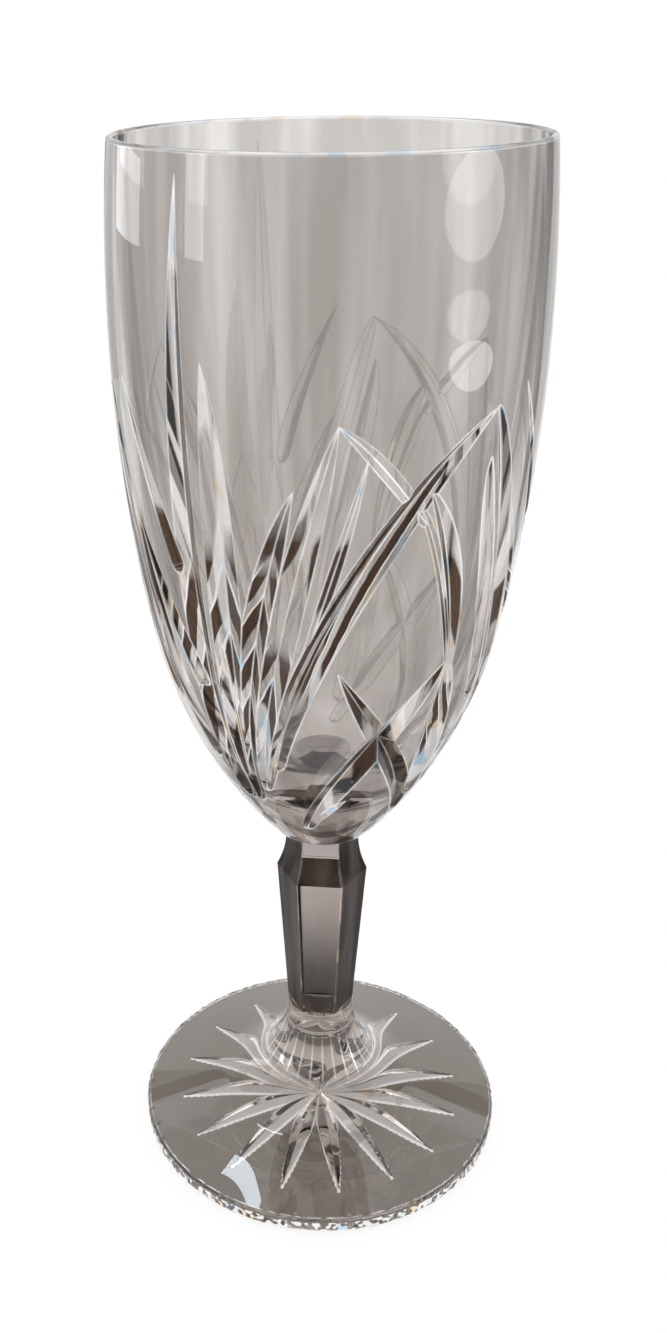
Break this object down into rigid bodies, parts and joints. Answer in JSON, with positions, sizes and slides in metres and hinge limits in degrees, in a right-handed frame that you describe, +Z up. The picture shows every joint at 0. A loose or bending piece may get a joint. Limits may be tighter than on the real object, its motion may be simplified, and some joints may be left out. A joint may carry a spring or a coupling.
{
  "type": "water goblet",
  "caption": "Tall clear glass goblet: round-bellied bowl with long V-shaped cuts, faceted stem and round foot with a star cut beneath.",
  "frame": {"origin": "on the table at the middle of the foot", "axes": "+Z up along the stem, front toward -Y, two flats of the stem square to Y"},
  "size_m": [0.079, 0.079, 0.21],
  "materials": {
    "clear_glass": "polished clear glass"
  },
  "bodies": {
    "root": {"bowl": "clear_glass", "stem": "clear_glass", "foot": "clear_glass"}
  },
  "joints": []
}
